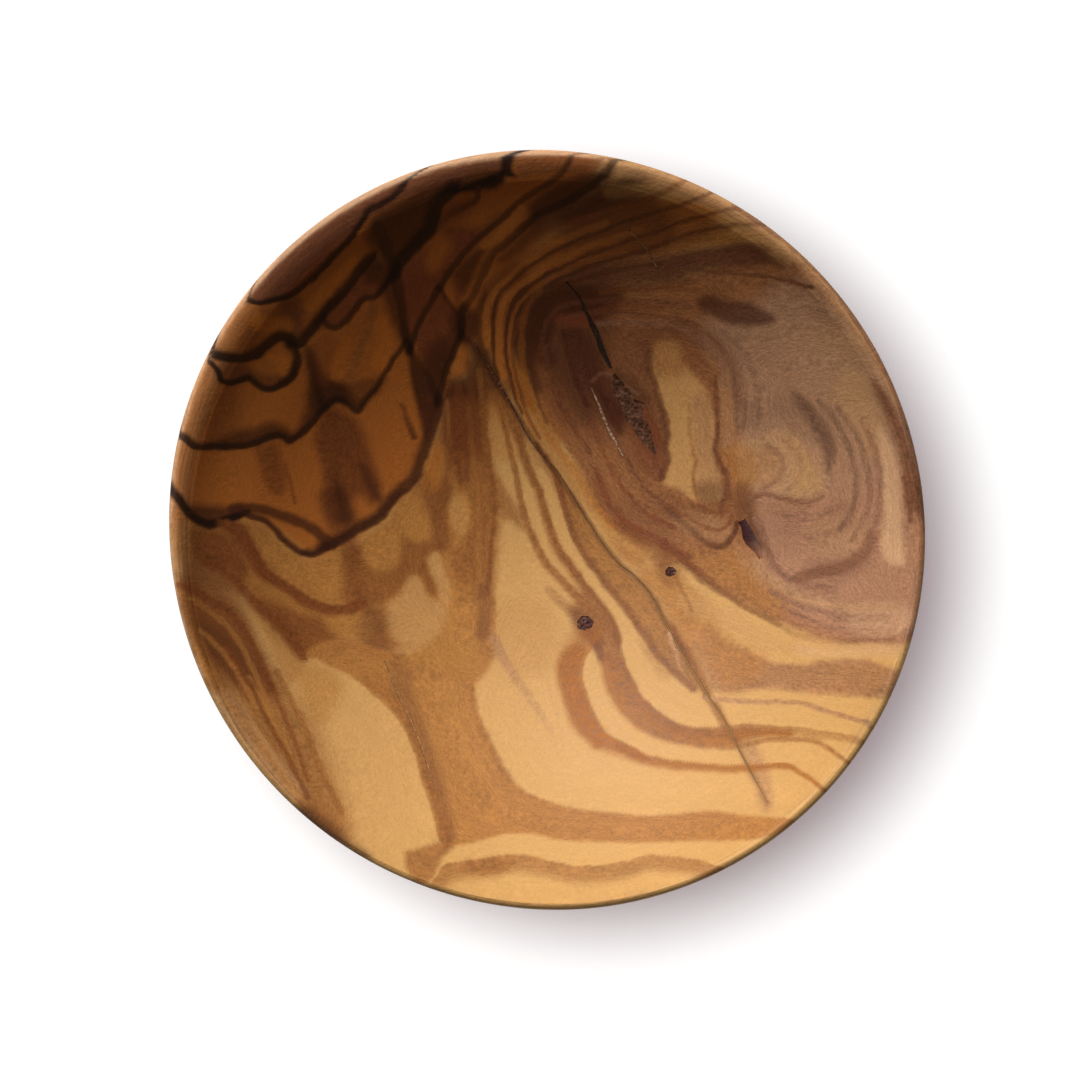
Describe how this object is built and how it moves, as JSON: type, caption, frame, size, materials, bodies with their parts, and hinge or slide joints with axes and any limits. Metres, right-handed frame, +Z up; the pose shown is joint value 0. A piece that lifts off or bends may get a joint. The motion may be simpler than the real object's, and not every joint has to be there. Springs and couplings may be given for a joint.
{
  "type": "olive wood dish",
  "caption": "Shallow round dish turned from figured olive wood, with a hollow set off centre, a narrow lip, filled drying cracks, a bark pocket and dead knots; holds snacks or small things.",
  "frame": {"origin": "middle of the foot's flat face, on the table", "axes": "+Z up out of the hollow; +X to the right and +Y to the top of the picture, which looks straight down"},
  "size_m": [0.1184, 0.119, 0.035],
  "materials": {
    "olive_wood": "oiled, satin",
    "crack_filler": "wood dust in glue, sanded flush",
    "bark": "rough",
    "knot_wood": "oiled, satin"
  },
  "bodies": {
    "root": {"dish_body": "olive_wood", "long_crack_fill": "crack_filler", "heart_crack_fill": "crack_filler", "heart_split_fill": "crack_filler", "left_hairline_fill": "crack_filler", "top_hairline_fill": "crack_filler", "bark_pocket": "bark", "long_knot": "knot_wood", "small_knot": "knot_wood", "lower_knot": "knot_wood"}
  },
  "joints": []
}
